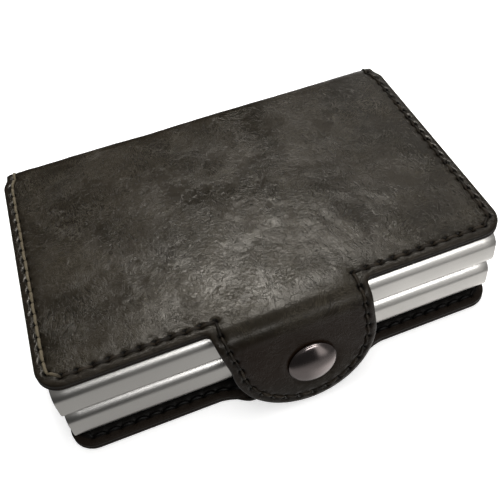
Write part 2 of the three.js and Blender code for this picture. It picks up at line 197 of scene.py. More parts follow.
def side_outline(side):
    """One long side of the strip from the tab's tip to the stud tab's end."""
    centre_v = V_TIP + TAB_TIP_RADIUS
    root = abs(TAB_ROOT_X[0] if side < 0 else TAB_ROOT_X[1])
    corner = HALF_LENGTH - FRONT_RADIUS
    stud = STUD_HALF_WIDTH + side * STUD_X
    bottom_start = V_BOTTOM_EDGE - COVER_FLAT
    parts = [
        arc(side * TAB_TIP_X, centre_v, TAB_TIP_RADIUS, -90, 0),
        curve((root, -1.3), (root + 0.1, 0), (root + 1.3, 0)),
        arc(corner, FRONT_RADIUS, FRONT_RADIUS, -90, 0),
        s_curve(HALF_LENGTH, COVER_FLAT - SPINE_EASE, SPINE_HALF_LENGTH, COVER_FLAT),
        s_curve(SPINE_HALF_LENGTH, bottom_start, HALF_LENGTH, bottom_start + SPINE_EASE),
        arc(corner, V_BOTTOM_EDGE - FRONT_RADIUS, FRONT_RADIUS, 0, 90),
        curve((stud + 8.8, V_BOTTOM_EDGE), (stud + 3.3, V_BOTTOM_EDGE + 0.7), (stud, V_BOTTOM_EDGE + 5.6)),
        arc(stud - STUD_CORNER, V_STUD_END - STUD_CORNER, STUD_CORNER, 0, 90),
    ]
    chain = np.concatenate(parts)
    chain[:, 0] *= side
    return chain


def resample(loop, spacing):
    """Evenly spaced points on a closed loop."""
    closed = np.vstack([loop, loop[:1]])
    lengths = np.concatenate([[0], np.cumsum(np.linalg.norm(np.diff(closed, axis=0), axis=1))])
    count = max(8, round(lengths[-1] / spacing))
    at = np.arange(count) * lengths[-1] / count
    return np.stack([np.interp(at, lengths, closed[:, k]) for k in (0, 1)], 1)


def with_cuts(loop):
    """The loop with a point exactly on each cut line."""
    out = []
    for a, b in zip(loop, np.roll(loop, -1, axis=0)):
        out.append(a)
        for cut in CUTS:
            if (a[1] - cut) * (b[1] - cut) < 0:
                out.append(a + (b - a) * (cut - a[1]) / (b[1] - a[1]))
    out = np.array(out)
    on_cut = np.any([np.abs(out[:, 1] - cut) < 1e-9 for cut in CUTS], axis=0)
    near = np.zeros(len(out), bool)
    for i in np.flatnonzero(on_cut):
        gap = np.linalg.norm(out - out[i], axis=1)
        near |= (gap < 0.25) & ~on_cut
    return out[~near]


BATCH = 2000  # points compared with the outline at a time


def inward(loop):
    """Unit directions into the loop at its points."""
    ahead = np.roll(loop, -1, axis=0) - np.roll(loop, 1, axis=0)
    ahead /= np.linalg.norm(ahead, axis=1)[:, None]
    return np.stack([-ahead[:, 1], ahead[:, 0]], 1)


def edge_distance(points, loop):
    """Distance of points from the loop, up to EDGE_REACH."""
    a, b = loop, np.roll(loop, -1, axis=0)
    ab = b - a
    square = (ab**2).sum(1)
    found = np.full(len(points), EDGE_REACH)
    for first in range(0, len(points), BATCH):
        p = points[first:first + BATCH]
        ap = p[:, None, :] - a
        t = np.clip((ap * ab).sum(-1) / square, 0, 1)
        gap = np.linalg.norm(ap - t[..., None] * ab, axis=-1).min(1)
        found[first:first + BATCH] = np.minimum(gap, EDGE_REACH)
    return found


def is_inside(points, loop):
    a, b = loop, np.roll(loop, -1, axis=0)
    inside = np.zeros(len(points), bool)
    for first in range(0, len(points), BATCH):
        x, y = points[first:first + BATCH, 0, None], points[first:first + BATCH, 1, None]
        crosses = (a[:, 1] > y) != (b[:, 1] > y)
        at = a[:, 0] + (y - a[:, 1]) / np.where(crosses, b[:, 1] - a[:, 1], 1) * (b[:, 0] - a[:, 0])
        inside[first:first + BATCH] = (crosses & (x < at)).sum(1) % 2 == 1
    return inside


OUTLINE_SPACING = 0.62
outline = with_cuts(resample(np.vstack([side_outline(1), side_outline(-1)[::-1]]), OUTLINE_SPACING))


def seam_holes():
    """Holes along the seam, with one exactly where it turns from the front edge down the tab."""
    loop = outline + STITCH_INSET * inward(outline)
    loop = loop[edge_distance(loop, outline) > 0.985 * STITCH_INSET]
    turns = []
    for root in TAB_ROOT_X:
        side = math.copysign(1, root)
        corner_u = abs(root) - STITCH_INSET
        across, down = side * loop[:, 0] - corner_u, STITCH_INSET - loop[:, 1]
        near = (across > -1) & (across < 5) & (down > -0.5) & (down < 5)
        loop[near & (across > down), 1] = STITCH_INSET
        loop[near & (across <= down), 0] = side * corner_u
        corner = np.array([side * corner_u, STITCH_INSET])
        index = int(np.argmin(np.linalg.norm(loop - corner, axis=1)))
        loop[index] = corner
        turns.append(index)
    first, last = sorted(turns)
    found = []
    for part in (loop[first:last + 1], np.vstack([loop[last:], loop[:first + 1]])):
        lengths = np.concatenate([[0], np.cumsum(np.linalg.norm(np.diff(part, axis=0), axis=1))])
        at = np.linspace(0, lengths[-1], round(lengths[-1] / STITCH_PITCH) + 1)[:-1]
        found.append(np.stack([np.interp(at, lengths, part[:, k]) for k in (0, 1)], 1))
    return np.vstack(found)


holes = seam_holes()

# ---- Triangles over the flat strip, finer at the edge and round the stitch holes ----

RING_INSETS = (0.12, 0.3, 0.55, 0.85, 1.2, 1.6, 2.05, 2.5, 3.0, 3.6, 4.3)
HOLE_RINGS = ((0.3, 6), (0.62, 9))  # radius and points of the rings round a stitch hole
CUT_SPACING = 0.75
GRID = 0.85
GRID_JITTER = 0.12


def circle(x, y, radius, steps, turn=0.0):
    a = np.arange(steps) * 2 * math.pi / steps + turn
    return np.stack([x + radius * np.cos(a), y + radius * np.sin(a)], 1)


def add_points(kept, points, gap):
    """The points that keep their distance from the ones already there, added to them."""
    tree = KDTree(len(kept))
    for i, p in enumerate(kept):
        tree.insert((p[0], p[1], 0), i)
    tree.balance()
    free = [p for p in points if tree.find((p[0], p[1], 0))[2] > gap]
    return np.vstack([kept, free]) if free else kept


def flat_mesh():
    """The strip's points, its triangles and their middles."""
    rivets = [circle(SNAP_X, v, RIVET_RADIUS, RIVET_SIDES) for v in (SNAP_V, STUD_SNAP_V)]
    points = np.vstack([outline, *rivets])
    edges = [(i, (i + 1) % len(outline)) for i in range(len(outline))]
    for r in range(len(rivets)):
        base = len(outline) + RIVET_SIDES * r
        edges += [(base + i, base + (i + 1) % RIVET_SIDES) for i in range(RIVET_SIDES)]
    for cut in CUTS:
        ends = np.flatnonzero(np.abs(outline[:, 1] - cut) < 1e-9)
        low, high = sorted(ends, key=lambda i: outline[i, 0])
        count = round((outline[high, 0] - outline[low, 0]) / CUT_SPACING)
        across = np.linspace(outline[low, 0], outline[high, 0], count + 1)[1:-1]
        first = len(points)
        points = np.vstack([points, np.stack([across, np.full(len(across), cut)], 1)])
        row = [low, *range(first, len(points)), high]
        edges += list(zip(row, row[1:]))
    dimples = [holes]
    for radius, steps in HOLE_RINGS:
        dimples += [circle(x, y, radius, steps) for x, y in holes]
    points = add_points(points, np.vstack(dimples), 0.12)
    for inset in RING_INSETS:
        ring = outline + inset * inward(outline)
        ring = ring[edge_distance(ring, outline) > 0.97 * inset]
        points = add_points(points, ring, 0.27 if inset > 0.4 else 0.1)
    dice = np.random.default_rng(7)
    rows = []
    for j, v in enumerate(np.arange(V_TIP + 1, V_STUD_END, GRID * 0.866)):
        u = np.arange(-HALF_LENGTH, HALF_LENGTH, GRID) + (j % 2) * GRID / 2
        rows.append(np.stack([u, np.full(len(u), v)], 1))
    grid = np.vstack(rows)
    grid = grid + dice.uniform(-GRID_JITTER, GRID_JITTER, grid.shape)
    grid = grid[is_inside(grid, outline)]
    grid = grid[edge_distance(grid, outline) > RING_INSETS[-1] + 0.35]
    for v in (SNAP_V, STUD_SNAP_V):
        grid = grid[np.hypot(grid[:, 0] - SNAP_X, grid[:, 1] - v) > RIVET_RADIUS + 0.4]
    points = add_points(points, grid, 0.4)
    result = delaunay_2d_cdt([Vector(p) for p in points], edges, [], 1, 1e-7)
    flat = np.array([tuple(p) for p in result[0]])
    triangles = np.array([t for t in result[2] if len(t) == 3])
    middle = flat[triangles].mean(1)
    for v in (SNAP_V, STUD_SNAP_V):
        keep = np.hypot(middle[:, 0] - SNAP_X, middle[:, 1] - v) > RIVET_RADIUS * 0.985
        triangles, middle = triangles[keep], middle[keep]
    return flat, triangles, middle


flat, triangles, middles = flat_mesh()
from_edge = edge_distance(flat, outline)
hole_tree = KDTree(len(holes))
for index, hole in enumerate(holes):
    hole_tree.insert((hole[0], hole[1], 0), index)
hole_tree.balance()
FAR_FROM_HOLES = 9.0
from_hole = np.array([hole_tree.find((p[0], p[1], 0))[2] if d < 5 else FAR_FROM_HOLES
                      for p, d in zip(flat, from_edge)])


def leather_thickness(v):
    """The leather, skived a little on the stud tab."""
    return LEATHER - 0.2 * smooth(v, V_BOTTOM_EDGE, V_BOTTOM_EDGE + 3)


def lining_thickness(v):
    """The lining, thinner on the spine and on the tabs."""
    away = np.abs(v - V_MIDDLE)
    spine = smooth(-away, COVER_FLAT - 2.2 - V_MIDDLE, COVER_FLAT + 0.3 - V_MIDDLE)
    tabs = smooth(away, V_MIDDLE + 0.5, V_MIDDLE + 1.7)
    thin = np.maximum(spine, tabs)
    stud = 0.2 * smooth(v, V_BOTTOM_EDGE, V_BOTTOM_EDGE + 3)
    return LINING - (LINING - THIN_LINING) * thin - stud


def pressed_lining(v, d):
    """The lining's thickness, less where the seam presses its edge."""
    pressed = 0.42 * smooth(-d, -3.4, -0.8) * smooth(lining_thickness(v), THIN_LINING, LINING)
    return lining_thickness(v) - pressed


def rounding(d, radius):
    """How far a rounded edge falls at distance d from the outline."""
    reach = np.clip(radius - d, 0, radius)
    return radius - np.sqrt(radius**2 - reach**2)


def seam_relief(d, hole, groove, pull):
    """How far the seam draws a face in: a groove, a pucker at each hole, and the hole itself."""
    line = groove * np.exp(-(((d - STITCH_INSET) / 0.42) ** 2))
    lip = 0.4 * pull * np.exp(-(((hole - 1.25) / 0.35) ** 2))
    return line + pull * np.exp(-((hole / 0.85) ** 2)) + 0.5 * np.exp(-((hole / 0.5) ** 4)) - lip


def leather_height(u, v, d, hole):
    """Height of the leather's outer face: waves, crinkles, a dish round the snap, and the seam."""
    body = smooth(d, 2.4, 5.2)
    up = smooth(-v, -V_MIDDLE, -V_MIDDLE + 12)
    long_waves = 0.22 * wave_noise(u / 23, v / 17, 3) + 0.09 * wave_noise(u / 9, v / 13, 4)
    crinkle = 0.035 * wave_noise(u / 3.1 + v / 9, v / 4.6, 5) + 0.02 * wave_noise(u / 1.7, v / 2.6, 6)
    rim_waves = smooth(d, 0.6, 1.2) * (1 - body) * 0.05 * (1 + wave_noise(u / 4, v / 4, 8))
    swell = body * (0.1 + long_waves * 0.6) + rim_waves
    snap_gap = np.minimum(np.hypot(u - SNAP_X, v - SNAP_V), np.hypot(u - SNAP_X, v - STUD_SNAP_V))
    dish = 0.3 * np.exp(-(((snap_gap - 5.2) / 1.1) ** 2))
    free = np.where(snap_gap < 5.4, 0.15, 1.0)
    crest = 0.16 * np.exp(-(((v + 2.4) / 2.0) ** 2)) * smooth(-np.abs(u - 2), -14.0, -6.0)
    height = leather_thickness(v) + crest - rounding(d, 0.5) - seam_relief(d, hole, 0.13, 0.17) - dish
    return height + free * (up * swell + (crinkle - 0.03) * smooth(d, 0.5, 1.5))


def lining_height(u, v, d, hole):
    """Depth of the lining's inner face."""
    weave = 0.012 * wave_noise(u / 1.3, v / 1.3, 11) + 0.03 * wave_noise(u / 14, v / 11, 12)
    seam = rounding(d, 0.35) + seam_relief(d, hole, 0.1, 0.12)
    return pressed_lining(v, d) - seam + weave * smooth(d, 1, 2)


def board_pocket(u, v):
    """How deep the lining is recessed for the stiffening board."""
    along = np.minimum(v, V_BOTTOM_EDGE - v)
    gap = np.maximum(np.abs(u) - 48.3, np.maximum(3.7 - along, along - COVER_FLAT + 3.0))
    return 0.85 * smooth(-gap, -0.05, 0.5)


# ---- Meshes ----

def new_object(name, points, faces, materials, indices=None, smooth_faces=True):
    """An object from points in millimetres."""
    mesh = bpy.data.meshes.new(name)
    mesh.from_pydata((np.asarray(points, float) * MM).tolist(), [], [list(map(int, f)) for f in faces])
    mesh.update()
    for m in materials:
        mesh.materials.append(m)
    mesh.polygons.foreach_set("use_smooth", np.full(len(mesh.polygons), smooth_faces))
    if indices is not None:
        mesh.polygons.foreach_set("material_index", np.asarray(indices, np.int32))
    obj = bpy.data.objects.new(name, mesh)
    bpy.context.scene.collection.objects.link(obj)
    return obj


def add_vectors(obj, name, values):
    attribute = obj.data.attributes.new(name, "FLOAT_VECTOR", "POINT")
    attribute.data.foreach_set("vector", np.asarray(values, np.float32).ravel())


def add_numbers(obj, name, values):
    attribute = obj.data.attributes.new(name, "FLOAT", "POINT")
    attribute.data.foreach_set("value", np.asarray(values, np.float32))


def border_edges(faces):
    """Edges used by one triangle only, in the direction that triangle runs."""
    pairs = np.vstack([faces[:, [0, 1]], faces[:, [1, 2]], faces[:, [2, 0]]])
    keys = np.sort(pairs, axis=1)
    _, where, counts = np.unique(keys, axis=0, return_index=True, return_counts=True)
    return pairs[where[counts == 1]]


def vertex_normals(points, faces):
    a, b, c = (points[faces[:, k]] for k in range(3))
    face = np.cross(b - a, c - a)
    total = np.zeros_like(points)
    for k in range(3):
        np.add.at(total, faces[:, k], face)
    return total / np.maximum(np.linalg.norm(total, axis=1), 1e-12)[:, None]


LAYER_GAP = 0.02  # between leather and lining, on each side
RIM_TUCK = 0.12  # how far the hidden face stays inside the shown one's rim
WALL_HEIGHT = 0.16  # where the rim's wall turns in to the hidden face


def rim_pull(u, v, rim):
    """Directions from the rim's points into the piece."""
    pull = np.zeros((len(u), 2))
    for a, b in rim:
        side = np.array([-(v[b] - v[a]), u[b] - u[a]])
        side = side / max(np.linalg.norm(side), 1e-9)
        pull[a] += side * 0.5
        pull[b] += side * 0.5
    return pull


def skin(name, low, high, is_leather, materials):
    """One closed piece of leather or lining between two cut lines of the strip."""
    sign = 1 if is_leather else -1
    height_of = leather_height if is_leather else lining_height
    height = height_of(flat[:, 0], flat[:, 1], from_edge, from_hole)
    shown = place(flat[:, 0], flat[:, 1], sign * height)
    turned = triangles if is_leather else triangles[:, ::-1]
    normals = vertex_normals(shown, turned)  # of the whole strip, so that cuts don't show
    chosen = triangles[(middles[:, 1] > low) & (middles[:, 1] < high)]
    used, faces = np.unique(chosen, return_inverse=True)
    faces = faces.reshape(-1, 3)
    u, v = flat[used, 0], flat[used, 1]
    count = len(used)
    rim = border_edges(faces)
    on_cut = np.isclose(v[rim], low, atol=1e-4).all(1) | np.isclose(v[rim], high, atol=1e-4).all(1)
    outer_rim = rim[~on_cut]
    rim_points = np.unique(outer_rim)
    tuck = RIM_TUCK * rim_pull(u, v, outer_rim)
    inner_n = np.full(count, LAYER_GAP) if is_leather else -LAYER_GAP - board_pocket(u, v)
    inner = place(u + tuck[:, 0], v + tuck[:, 1], inner_n)
    wall_n = np.full(len(rim_points), sign * WALL_HEIGHT)
    wall = place(u[rim_points], v[rim_points], wall_n)
    points = np.vstack([shown[used], inner, wall])
    wall_of = {int(p): 2 * count + i for i, p in enumerate(rim_points)}
    if is_leather:
        out_faces, in_faces = faces, faces[:, ::-1] + count
    else:
        out_faces, in_faces = faces[:, ::-1], faces + count
    polygons = [*out_faces.tolist(), *in_faces.tolist()]
    kinds = [0] * (2 * len(faces))
    for (a, b), cut in zip(rim.tolist(), on_cut):
        if cut:
            band = [(b, a, a + count, b + count)]
        else:
            band = [(b, a, wall_of[a], wall_of[b]), (wall_of[b], wall_of[a], a + count, b + count)]
        polygons += [q if is_leather else q[::-1] for q in band]
        kinds += [1] * len(band)
    obj = new_object(name, points, polygons, materials, kinds)
    n = np.concatenate([sign * height[used], inner_n, wall_n])
    where = np.concatenate([np.arange(count), np.arange(count), rim_points])
    add_vectors(obj, "pattern", np.stack([u[where], v[where], n], 1))
    add_numbers(obj, "edge", from_edge[used][where])
    add_numbers(obj, "hole", from_hole[used][where])
    seam_normals = np.zeros_like(points)
    at_cut = np.isclose(v, low, atol=1e-4) | np.isclose(v, high, atol=1e-4)
    seam_normals[:count][at_cut] = normals[used][at_cut]
    obj.data.normals_split_custom_set_from_vertices(seam_normals.tolist())
    return obj


THREAD = 0.35
THREAD_TWIST = 2.1  # length of a turn of the thread's three strands
THREAD_SINK = 0.13
STITCH_STEPS = 13
THREAD_SIDES = 12


def stitching(name, low, high, is_leather, thread):
    """The seam's threads between two cut lines, on the leather's or the lining's face."""
    sign = 1 if is_leather else -1
    points, faces, along, painted_left_highlight, count = [], [], [], [], 0
    steps, around = STITCH_STEPS, THREAD_SIDES
    t = np.linspace(0, 1, steps)
    angle = np.arange(around) * 2 * math.pi / around
    lift = 0.16 - 0.8 * np.abs(2 * t - 1) ** 2.8
    dice = np.random.default_rng(21 if is_leather else 22)
    for a, b in zip(holes, np.roll(holes, -1, axis=0)):
        sway = dice.uniform(-0.07, 0.07)
        rise = dice.uniform(-0.04, 0.05)
        thick = dice.uniform(0.92, 1.08)
        if not low < (a[1] + b[1]) / 2 < high:
            continue
        across = np.array([a[1] - b[1], b[0] - a[0]]) / np.linalg.norm(b - a)
        uv = a + (b - a) * t[:, None] + across * (sway * np.sin(math.pi * t))[:, None]
        v = uv[:, 1]
        thickness = leather_thickness(v) if is_leather else pressed_lining(v, STITCH_INSET)
        path = place(uv[:, 0], uv[:, 1], sign * (thickness - THREAD_SINK + lift + rise))
        _, outward = fold(uv[:, 1])
        up = sign * np.concatenate([np.zeros((steps, 1)), outward], 1)
        ahead = np.gradient(path, axis=0)
        ahead /= np.linalg.norm(ahead, axis=1)[:, None]
        side = np.cross(ahead, up)
        side /= np.linalg.norm(side, axis=1)[:, None]
        top = np.cross(side, ahead)
        length = t * STITCH_PITCH
        radius = THREAD * thick * (1 - 0.42 * np.abs(2 * t - 1) ** 2.4)
        lobe = 1 + 0.13 * np.cos(3 * angle[None, :] - (2 * math.pi * length / THREAD_TWIST)[:, None])
        ring = radius[:, None] * lobe
        sideways = np.cos(angle)[None, :, None] * side[:, None, :]
        upward = 0.82 * np.sin(angle)[None, :, None] * top[:, None, :]
        loop = path[:, None, :] + ring[..., None] * (sideways + upward)
        points.append(loop.reshape(-1, 3))
        number = np.full(steps * around, count)
        along.append(np.stack([np.repeat(length, around), np.tile(angle, steps), number], 1))
        # Paler threads at the wallet's left end: painted highlight.
        painted_left_highlight.append(np.repeat(0.8 * smooth(-uv[:, 0], 46.5, 49.5), around))
        for i in range(steps - 1):
            for j in range(around):
                k = (j + 1) % around
                faces.append((count + i * around + j, count + i * around + k,
                              count + (i + 1) * around + k, count + (i + 1) * around + j))
        faces.append(tuple(count + j for j in range(around))[::-1])
        faces.append(tuple(count + (steps - 1) * around + j for j in range(around)))
        count += steps * around
    obj = new_object(name, np.vstack(points), faces, [thread])
    add_vectors(obj, "pattern", np.vstack(along))
    add_numbers(obj, "painted_left_highlight", np.concatenate(painted_left_highlight))
    return obj


# ---- Materials ----

class Shader:
    """A material with one principled shader, and short calls for the nodes that feed it."""

    def __init__(self, name, **inputs):
        self.material = bpy.data.materials.new(name)
        self.material.use_nodes = True
        self.tree = self.material.node_tree
        self.surface = self.tree.nodes["Principled BSDF"]
        for key, value in inputs.items():
            self.set(key.replace("_", " "), value)

    def set(self, key, value):
        self.feed(self.surface.inputs[key], value)

    def feed(self, socket, value):
        if isinstance(value, bpy.types.NodeSocket):
            self.tree.links.new(value, socket)
        else:
            socket.default_value = value

    def node(self, kind, inputs=None, **settings):
        made = self.tree.nodes.new("ShaderNode" + kind)
        for key, value in settings.items():
            setattr(made, key, value)
        for key, value in (inputs or {}).items():
            self.feed(made.inputs[key], value)
        return made

    def attribute(self, name, output="Fac"):
        return self.node("Attribute", attribute_name=name).outputs[output]

    def local(self):
        """A CAD piece's own position, in millimetres."""
        return self.scaled(self.node("TexCoord").outputs["Object"], (1 / MM,) * 3)

    def scaled(self, vector, scale, turn=(0, 0, 0)):
        return self.node("Mapping", {"Vector": vector, "Scale": scale, "Rotation": turn}).outputs[0]

    def noise(self, vector, scale, detail=2.0, roughness=0.5, output="Fac"):
        inputs = {"Vector": vector, "Scale": scale, "Detail": detail, "Roughness": roughness}
        return self.node("TexNoise", inputs).outputs[output]

    def cells(self, vector, scale):
        """Distance to the border of the nearest cell."""
        inputs = {"Vector": vector, "Scale": scale}
        return self.node("TexVoronoi", inputs, feature="DISTANCE_TO_EDGE").outputs["Distance"]

    def warped(self, vector, scale, amount):
        colour = self.noise(vector, scale, 2, output="Color")
        shift = self.node("VectorMath", {0: colour, 1: (0.5, 0.5, 0.5)}, operation="SUBTRACT").outputs[0]
        shift = self.node("VectorMath", {0: shift, 1: (amount,) * 3}, operation="MULTIPLY").outputs[0]
        return self.node("VectorMath", {0: vector, 1: shift}, operation="ADD").outputs[0]

    def math(self, operation, a, b=0.0):
        return self.node("Math", {0: a, 1: b}, operation=operation).outputs[0]

    def total(self, *terms):
        """The sum of values, each times its weight."""
        result = None
        for value, weight in terms:
            term = self.math("MULTIPLY", value, weight)
            result = term if result is None else self.math("ADD", result, term)
        return result

    def ramp(self, value, start, end, low=0.0, high=1.0):
        """low up to start, high after end and an S curve between them."""
        inputs = {"Value": value, "From Min": start, "From Max": end, "To Min": low, "To Max": high}
        return self.node("MapRange", inputs, interpolation_type="SMOOTHSTEP").outputs["Result"]

    def mix(self, factor, a, b):
        return self.node("Mix", {0: factor, 6: a, 7: b}, data_type="RGBA").outputs[2]

    def bump(self, height, strength=1.0):
        """Bump from a height in millimetres."""
        made = self.node("Bump", {"Height": height, "Distance": MM, "Strength": strength})
        self.set("Normal", made.outputs["Normal"])


def rgb(red, green, blue):
    """A colour from 0-255 display values."""
    def linear(c):
        c = c / 255
        return c / 12.92 if c <= 0.04045 else ((c + 0.055) / 1.055) ** 2.4
    return (linear(red), linear(green), linear(blue), 1.0)


def leather_material():
    """Dark waxed leather: brushed-looking wrinkles in clusters, with painted shade in their hollows, painted
    highlight along their lines and painted shade in the stitch holes; darker and browner on the closing tab,
    which is painted shade.
    """
    s = Shader("waxed leather", IOR=1.45, Specular_IOR_Level=0.3, Specular_Tint=(1.0, 0.96, 0.9, 1))
    at = s.attribute("pattern", "Vector")
    edge, hole = s.attribute("edge"), s.attribute("hole")
    swirl = s.warped(at, 0.05, 15.0)
    along = s.noise(s.scaled(s.warped(swirl, 0.6, 0.6), (3.1, 0.62, 1.0), (0, 0, 0.35)), 1.0, 3, 0.55)
    across = s.noise(s.scaled(s.warped(swirl, 0.6, 0.7), (0.7, 2.8, 1.0), (0, 0, -0.5)), 1.0, 3, 0.55)
    patch = s.ramp(s.noise(at, 0.09, 2), 0.42, 0.6)
    strokes = s.node("Mix", {0: patch, 2: along, 3: across}).outputs[0]
    ridges = s.math("ABSOLUTE", s.math("SUBTRACT", s.noise(s.warped(at, 0.5, 2.0), 0.33, 3, 0.55), 0.5))
    creases = s.ramp(ridges, 0.0, 0.03)
    cloud = s.noise(at, 0.06, 3, 0.6)
    grit = s.noise(at, 5.0, 3, 0.6)
    wrinkled = s.ramp(s.noise(at, 0.11, 3, 0.6), 0.4, 0.62, 0.15, 1.0)
    lines = s.ramp(s.math("ABSOLUTE", s.math("SUBTRACT", strokes, 0.5)), 0.0, 0.045, 1.0, 0.0)
    lines = s.math("MULTIPLY", lines, wrinkled)
    dents = s.noise(at, 0.28, 3, 0.6)
    stroke_height = s.ramp(wrinkled, 0.15, 1.0, 0.035, 0.085)
    s.bump(s.total((strokes, stroke_height), (lines, 0.02), (creases, 0.018), (grit, 0.014), (dents, 0.09)))
    colour = s.mix(s.ramp(cloud, 0.35, 0.65), rgb(28, 24, 17), rgb(40, 35, 27))
    # Darker in the low parts of the wrinkles: painted shade in their hollows.
    colour = s.mix(s.ramp(strokes, 0.46, 0.32, 0.0, 0.65), colour, rgb(13, 9, 5))
    # Light colour along the wrinkle lines: painted highlight.
    colour = s.mix(s.math("MULTIPLY", lines, 0.5), colour, rgb(80, 75, 63))
    v = s.node("SeparateXYZ", {0: at}).outputs["Y"]
    # Darker and browner on the closing tab, most of all low on it: painted shade where the tab faces forward
    # and down.
    painted_tab_shade = s.math("MULTIPLY", s.ramp(v, -2.5, -6.0), s.ramp(v, -24.0, -14.0, 0.2, 0.85))
    colour = s.mix(painted_tab_shade, colour, rgb(29, 16, 7))
    worn = s.math("MULTIPLY", s.ramp(edge, 2.0, 0.35), s.ramp(s.noise(at, 0.9, 4), 0.35, 0.65, 0.3, 1.0))
    colour = s.mix(s.ramp(edge, 6.0, 1.5, 0.0, 0.4), colour, rgb(16, 11, 7))
    colour = s.mix(s.ramp(edge, 2.3, 1.4, 0.0, 0.5), colour, rgb(14, 11, 8))
    colour = s.mix(s.math("MULTIPLY", worn, 0.12), colour, rgb(84, 74, 62))
    # Near-black at the stitch holes: painted shade in the holes.
    colour = s.mix(s.ramp(hole, 1.0, 0.6), colour, rgb(4, 3, 2))
    s.set("Base Color", colour)
    rough = s.math("ADD", s.ramp(cloud, 0.35, 0.65, 0.16, 0.21), s.ramp(strokes, 0.45, 0.3, 0.0, 0.1))
    s.set("Roughness", s.math("ADD", rough, s.ramp(v, 7.0, -1.5, 0.0, 0.15)))
    return s.material


def edge_material():
    s = Shader("edge paint", IOR=1.45, Specular_IOR_Level=0.25)
    at = s.attribute("pattern", "Vector")
    fibres = s.noise(s.scaled(at, (1, 1, 5)), 2.4, 4, 0.6)
    s.set("Base Color", s.mix(s.ramp(fibres, 0.45, 0.7), rgb(16, 12, 9), rgb(48, 38, 28)))
    s.set("Roughness", s.ramp(fibres, 0.3, 0.7, 0.45, 0.7))
    s.bump(s.math("MULTIPLY", fibres, 0.06))
    return s.material


def lining_material():
    s = Shader("black lining", IOR=1.45, Specular_IOR_Level=0.2)
    at = s.attribute("pattern", "Vector")
    pebbles = s.ramp(s.cells(s.warped(at, 1.2, 0.6), 1.5), 0.0, 0.25)
    cloud = s.noise(at, 0.09, 3)
    s.bump(s.total((pebbles, 0.03), (s.noise(at, 4.0, 3), 0.02)))
    colour = s.mix(cloud, rgb(12, 11, 10), rgb(22, 20, 18))
    colour = s.mix(s.ramp(s.attribute("edge"), 1.8, 1.2, 0.0, 0.85), colour, rgb(32, 25, 19))
    s.set("Base Color", colour)
    s.set("Roughness", s.ramp(pebbles, 0, 1, 0.72, 0.55))
    return s.material


def thread_material(name, dark, light, painted_groove_shade, painted_left_highlight):
    s = Shader(name, IOR=1.5, Specular_IOR_Level=0.25)
    at = s.attribute("pattern", "Vector")
    fibre = s.noise(s.scaled(at, (6, 1.2, 0.37)), 2.0, 3, 0.6)
    tone = s.noise(s.scaled(at, (0.25, 0.0, 0.137)), 1.0, 1)
    colour = s.mix(s.ramp(tone, 0.3, 0.7), dark, light)
    # Paler at the left end: painted highlight.
    colour = s.mix(s.attribute("painted_left_highlight"), colour, painted_left_highlight)
    # Darker between the fibres: painted shade in the grooves of the twisted strands.
    s.set("Base Color", s.mix(s.ramp(fibre, 0.3, 0.6, 0.6, 0.0), colour, painted_groove_shade))
    s.set("Roughness", s.ramp(fibre, 0.3, 0.7, 0.6, 0.4))
    s.bump(s.math("MULTIPLY", fibre, 0.04))
    return s.material


def aluminium_material():
    s = Shader("anodised aluminium", Metallic=1.0)
    at = s.local()
    lines = s.noise(s.scaled(at, (0.012, 1, 1)), 5.0, 4, 0.65)
    cloud = s.noise(at, 0.05, 3)
    speck = s.ramp(s.noise(at, 3.0, 2), 0.62, 0.75)
    s.set("Base Color", s.mix(s.math("MULTIPLY", speck, 0.25), rgb(216, 214, 210), rgb(180, 177, 172)))
    s.set("Roughness", s.math("ADD", s.ramp(cloud, 0.3, 0.7, 0.25, 0.32), s.math("MULTIPLY", lines, 0.1)))
    s.bump(s.total((lines, 0.01), (s.noise(at, 6, 2), 0.003)))
    return s.material


def plastic_material():
    s = Shader("moulded black plastic", IOR=1.5)
    at = s.local()
    texture = s.noise(at, 7.0, 3, 0.6)
    cloud = s.noise(at, 0.2, 3)
    s.set("Base Color", s.mix(cloud, rgb(18, 18, 19), rgb(30, 30, 31)))
    s.set("Roughness", s.ramp(cloud, 0.3, 0.7, 0.42, 0.55))
    s.bump(s.math("MULTIPLY", texture, 0.02))
    return s.material


def fibre_material(name, dark, light, scale, height):
    s = Shader(name, Roughness=0.95)
    at = s.local()
    fuzz = s.noise(s.warped(at, scale * 0.4, 1.5 / scale), scale, 5, 0.7)
    s.set("Base Color", s.mix(s.ramp(fuzz, 0.3, 0.7), dark, light))
    s.bump(s.math("MULTIPLY", fuzz, height))
    return s.material


def metal_material(name, dark, light, roughness, scale=4.0):
    s = Shader(name, Metallic=1.0)
    at = s.local()
    cloud = s.noise(at, 0.35, 3)
    marks = s.noise(s.scaled(at, (1, 1, 0.2)), scale, 4, 0.6)
    s.set("Base Color", s.mix(cloud, dark, light))
    s.set("Roughness", s.math("ADD", s.ramp(cloud, 0.3, 0.7, roughness - 0.03, roughness + 0.03),
                              s.math("MULTIPLY", marks, 0.06)))
    s.bump(s.math("MULTIPLY", marks, 0.004))
    return s.material


